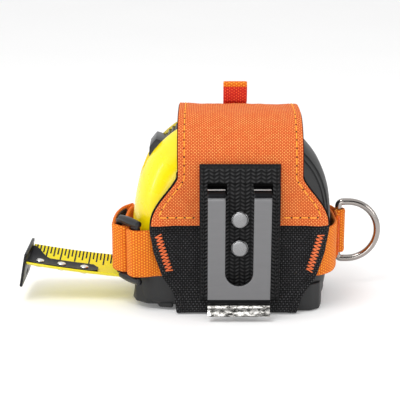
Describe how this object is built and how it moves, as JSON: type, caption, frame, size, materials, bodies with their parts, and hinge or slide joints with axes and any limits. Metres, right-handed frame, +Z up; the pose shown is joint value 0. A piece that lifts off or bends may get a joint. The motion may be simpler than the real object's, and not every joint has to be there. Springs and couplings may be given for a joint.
{
  "type": "tape measure in a belt pouch",
  "caption": "Woven belt pouch with a flap, steel belt clip, webbing straps and a D-ring, holding a tape measure with its blade out.",
  "frame": {"origin": "middle of the bottom panel's underside, below the middle of the belt clip", "axes": "+Z up, -Y out of the belt clip's side, -X the way the blade comes out"},
  "size_m": [0.1562, 0.0666, 0.0909],
  "materials": {
    "yellow_shell": "gloss moulded",
    "rubber_grip": "satin moulded",
    "screw": "blackened",
    "lever": "satin moulded",
    "inner_plastic": "moulded",
    "spring_steel": "rolled",
    "blade": "lacquered",
    "hook": "black",
    "hook_rivet": "plated",
    "black_fabric": "heavy woven",
    "orange_fabric": "plain weave",
    "orange_webbing": "ribbed webbing",
    "black_webbing": "woven webbing",
    "hook_tape": "hook and loop",
    "clip_steel": "satin",
    "rivet": "plated",
    "slide_plastic": "moulded",
    "ring_chrome": "polished"
  },
  "bodies": {
    "pouch": {"back_panel": "black_fabric", "front_panel": "black_fabric", "bottom_panel": "black_fabric", "back_yoke": "orange_fabric", "front_loop_patch": "hook_tape", "clip_back_leaf": "clip_steel", "clip_rivet_1": "rivet", "clip_rivet_2": "rivet", "clip_webbing": "black_webbing", "clip_webbing_top": "black_webbing", "left_anchor_strap": "orange_webbing", "left_strap": "orange_webbing", "left_strap_hook_tape": "hook_tape", "strap_slide": "slide_plastic", "right_strap": "orange_webbing", "d_ring_loop": "orange_webbing", "tape_case_back": "yellow_shell", "tape_case_front": "yellow_shell", "tape_grip_back": "rubber_grip", "tape_grip_front": "rubber_grip", "tape_case_screw_1": "screw", "tape_case_screw_2": "screw", "tape_case_screw_3": "screw", "tape_axle": "inner_plastic", "tape_power_spring": "spring_steel"},
    "flap": {"flap": "orange_fabric", "flap_hook_patch": "hook_tape", "pull_tab": "orange_webbing"},
    "clip_leaf": {"clip_front_leaf": "clip_steel"},
    "d_ring": {"d_ring": "ring_chrome"},
    "reel": {"tape_drum": "inner_plastic", "tape_blade_coil": "blade"},
    "blade": {"tape_blade": "blade", "tape_hook_rivet_1": "hook_rivet", "tape_hook_rivet_2": "hook_rivet", "tape_hook_rivet_3": "hook_rivet"},
    "end_hook": {"tape_end_hook": "hook"},
    "lock_lever": {"tape_lock_lever": "lever"}
  },
  "joints": [
    {"name": "flap_open", "type": "hinge", "parent": "pouch", "child": "flap", "pos_m": [0, -0.0257, 0.065], "axis": [1, 0, 0], "range_deg": [0, 105]},
    {"name": "clip_flex", "type": "hinge", "parent": "pouch", "child": "clip_leaf", "pos_m": [0, -0.02715, 0.0529], "axis": [-1, 0, 0], "range_deg": [0, 8], "stiffness_Nm_per_rad": 4},
    {"name": "d_ring_swing", "type": "hinge", "parent": "pouch", "child": "d_ring", "pos_m": [0.0446, 0.011, 0.0255], "axis": [0, 0, 1], "range_deg": [-80, 80]},
    {"name": "reel_spin", "type": "hinge", "parent": "pouch", "child": "reel", "pos_m": [-0.0025, 0, 0.042], "axis": [0, 1, 0], "range_deg": [-66, 30]},
    {"name": "blade_travel", "type": "hinge", "parent": "pouch", "child": "blade", "pos_m": [-0.005, 0, 0.4813], "axis": [0, 1, 0], "range_deg": [-4.2, 1.95]},
    {"name": "hook_play", "type": "slide", "parent": "blade", "child": "end_hook", "axis": [-0.9837, 0, 0.18], "range_m": [0, 0.0008]},
    {"name": "lock_slide", "type": "hinge", "parent": "pouch", "child": "lock_lever", "pos_m": [-0.0025, 0, 0.042], "axis": [0, -1, 0], "range_deg": [0, 5]}
  ],
  "couplings": [
    {"joint": "blade_travel", "follows": "reel_spin", "ratio": 0.0621}
  ]
}
